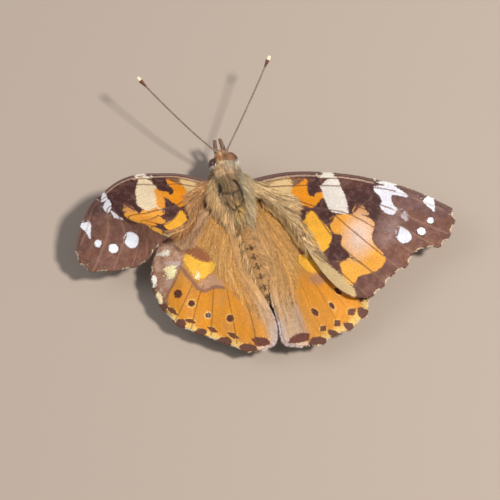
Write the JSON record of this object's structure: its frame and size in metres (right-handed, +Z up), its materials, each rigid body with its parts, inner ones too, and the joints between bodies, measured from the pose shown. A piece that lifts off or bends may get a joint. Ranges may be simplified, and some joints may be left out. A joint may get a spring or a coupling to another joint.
{
  "type": "painted lady butterfly",
  "caption": "Life-size still model of a painted lady butterfly resting with orange, black and white wings spread, one forewing buckled at its crease.",
  "frame": {"origin": "on the surface it rests on, under the middle of its bounding box", "axes": "-Y towards the head, +X towards the butterfly's own left wing, +Z up from the surface"},
  "size_m": [0.0536, 0.0454, 0.0102],
  "materials": {
    "wing_scales": "matt, finely scaled",
    "body_hair": "long soft hair",
    "abdomen_scales": "short flat scales",
    "eye": "fine facets, glossy",
    "antenna_scales": "dark with fine pale rings",
    "leg_scales": "buff scales"
  },
  "bodies": {
    "root": {"thorax": "body_hair", "abdomen": "abdomen_scales", "head": "body_hair", "eye_left": "eye", "eye_right": "eye", "palp_left": "body_hair", "palp_right": "body_hair", "antenna_left": "antenna_scales", "antenna_right": "antenna_scales", "forewing_left": "wing_scales", "forewing_right": "wing_scales", "hindwing_left": "wing_scales", "hindwing_right": "wing_scales", "foreleg_left": "leg_scales", "foreleg_right": "leg_scales", "midleg_left": "leg_scales", "midleg_right": "leg_scales", "hindleg_left": "leg_scales", "hindleg_right": "leg_scales"}
  },
  "joints": []
}
